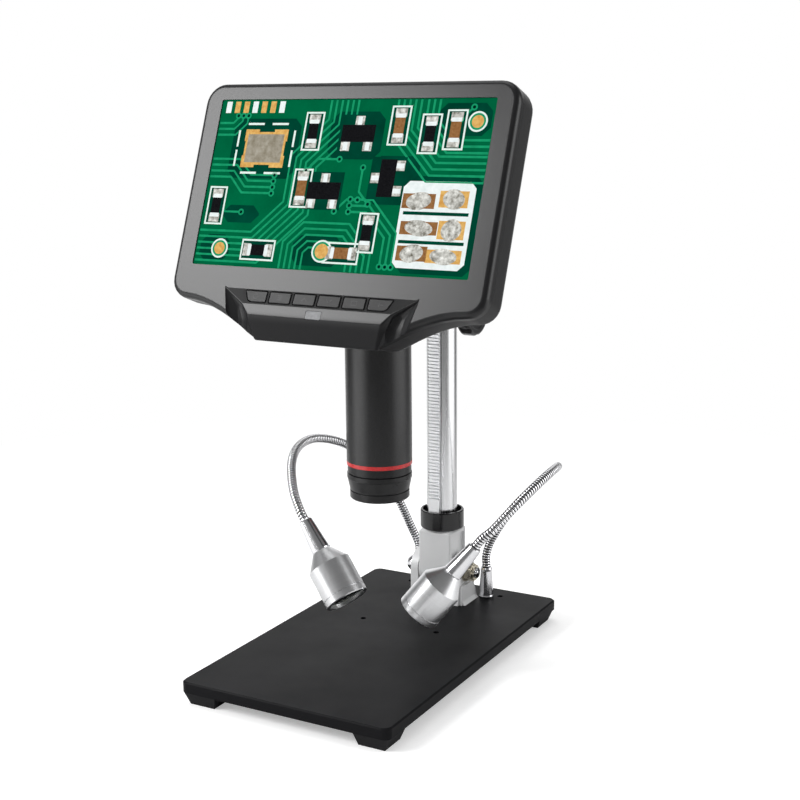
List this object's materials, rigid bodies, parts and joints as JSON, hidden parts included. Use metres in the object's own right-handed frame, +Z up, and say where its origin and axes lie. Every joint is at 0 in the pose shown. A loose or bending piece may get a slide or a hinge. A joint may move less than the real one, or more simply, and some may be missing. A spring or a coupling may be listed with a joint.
{
  "type": "digital microscope",
  "caption": "Digital microscope with a tilting screen on a rack-and-pinion column, a camera tube, a flat base and two gooseneck lamps.",
  "frame": {"origin": "centre of the base plate, on the table under the feet", "axes": "+Z up, front faces -Y, +X to the right as seen from the front"},
  "size_m": [0.177, 0.197, 0.3042],
  "materials": {
    "plate_black": "satin",
    "foot_rubber": "matte",
    "steel": "satin",
    "cast_grey": "satin",
    "chrome": "polished",
    "nut_nickel": "satin",
    "aluminium": "brushed",
    "black_metal": "satin",
    "gloss_black": "gloss",
    "bush_white": "matte",
    "accent_red": "gloss",
    "optic_glass": "clear",
    "board_green": "satin",
    "housing_charcoal": "matte",
    "cover_charcoal": "matte",
    "lcd_dark": "gloss",
    "screen": "gloss",
    "ir_grey": "satin",
    "button_black": "satin",
    "led_cream": "matte"
  },
  "bodies": {
    "base": {"base_plate": "plate_black", "base_feet": "foot_rubber", "foot_screws": "steel", "column_bracket": "cast_grey", "bracket_screws": "steel", "pivot_bolt": "chrome", "pivot_nut": "nut_nickel", "lamp_foot_left": "chrome", "lamp_foot_right": "chrome", "lamp_foot_nuts": "steel", "gooseneck_left": "chrome", "gooseneck_right": "chrome"},
    "column": {"pivot_block": "cast_grey", "column_collar": "black_metal", "column_rod": "aluminium", "column_rack": "aluminium", "column_cap": "gloss_black"},
    "carriage": {"carriage_housing": "black_metal", "guide_bushes": "bush_white", "camera_arm": "black_metal", "arm_screws": "steel", "clamp_screw": "steel", "tension_knob": "gloss_black", "camera_tube": "black_metal", "accent_ring": "accent_red", "lens_nose": "black_metal", "filter_ring": "aluminium", "filter_glass": "optic_glass", "lens_cell": "black_metal", "objective_lenses": "optic_glass", "sensor_board": "board_green", "tube_head": "black_metal", "tilt_pin": "steel"},
    "focus_shaft": {"pinion_shaft": "steel", "focus_knob_left": "gloss_black", "focus_knob_right": "gloss_black"},
    "screen_unit": {"front_bezel": "housing_charcoal", "rear_cover": "cover_charcoal", "lcd_panel": "lcd_dark", "screen_glass": "screen", "main_board": "board_green", "button_board": "board_green", "ir_window": "ir_grey", "cover_screws": "steel", "hinge_plate": "black_metal", "socket_row": "steel"},
    "key_1": {"button_1": "button_black"},
    "key_2": {"button_2": "button_black"},
    "key_3": {"button_3": "button_black"},
    "key_4": {"button_4": "button_black"},
    "key_5": {"button_5": "button_black"},
    "key_6": {"button_6": "button_black"},
    "lamp_left": {"lamp_ferrule_left": "chrome", "lamp_head_left": "aluminium", "lamp_lens_left": "optic_glass", "lamp_led_left": "led_cream"},
    "lamp_right": {"lamp_ferrule_right": "chrome", "lamp_head_right": "aluminium", "lamp_lens_right": "optic_glass", "lamp_led_right": "led_cream"}
  },
  "joints": [
    {"name": "column_tilt", "type": "hinge", "parent": "base", "child": "column", "pos_m": [0, 0.071, 0.0307], "axis": [1, 0, 0], "range_deg": [-20, 5]},
    {"name": "focus_slide", "type": "slide", "parent": "column", "child": "carriage", "axis": [0, 0, 1], "range_m": [-0.045, 0.055]},
    {"name": "focus_turn", "type": "hinge", "parent": "carriage", "child": "focus_shaft", "pos_m": [0, 0.05565, 0.1841], "axis": [1, 0, 0], "range_deg": [-600, 480]},
    {"name": "screen_tilt", "type": "hinge", "parent": "carriage", "child": "screen_unit", "pos_m": [0, -0.0138, 0.2207], "axis": [1, 0, 0], "range_deg": [-25, 15]},
    {"name": "key_1_press", "type": "slide", "parent": "screen_unit", "child": "key_1", "axis": [0, 0.9336, -0.3584], "range_m": [0, 0.0006], "stiffness_N_per_m": 600},
    {"name": "key_2_press", "type": "slide", "parent": "screen_unit", "child": "key_2", "axis": [0, 0.9336, -0.3584], "range_m": [0, 0.0006], "stiffness_N_per_m": 600},
    {"name": "key_3_press", "type": "slide", "parent": "screen_unit", "child": "key_3", "axis": [0, 0.9336, -0.3584], "range_m": [0, 0.0006], "stiffness_N_per_m": 600},
    {"name": "key_4_press", "type": "slide", "parent": "screen_unit", "child": "key_4", "axis": [0, 0.9336, -0.3584], "range_m": [0, 0.0006], "stiffness_N_per_m": 600},
    {"name": "key_5_press", "type": "slide", "parent": "screen_unit", "child": "key_5", "axis": [0, 0.9336, -0.3584], "range_m": [0, 0.0006], "stiffness_N_per_m": 600},
    {"name": "key_6_press", "type": "slide", "parent": "screen_unit", "child": "key_6", "axis": [0, 0.9336, -0.3584], "range_m": [0, 0.0006], "stiffness_N_per_m": 600},
    {"name": "lamp_left_swing", "type": "hinge", "parent": "base", "child": "lamp_left", "pos_m": [-0.0222, 0.0834, 0.0307], "axis": [0, 0, 1], "range_deg": [-30, 5], "deforming": ["gooseneck_left"]},
    {"name": "lamp_right_swing", "type": "hinge", "parent": "base", "child": "lamp_right", "pos_m": [0.0222, 0.0834, 0.0307], "axis": [0, 0, 1], "range_deg": [0, 30], "deforming": ["gooseneck_right"]}
  ],
  "couplings": [
    {"joint": "focus_turn", "follows": "focus_slide", "rad_per_m": -185.19}
  ]
}
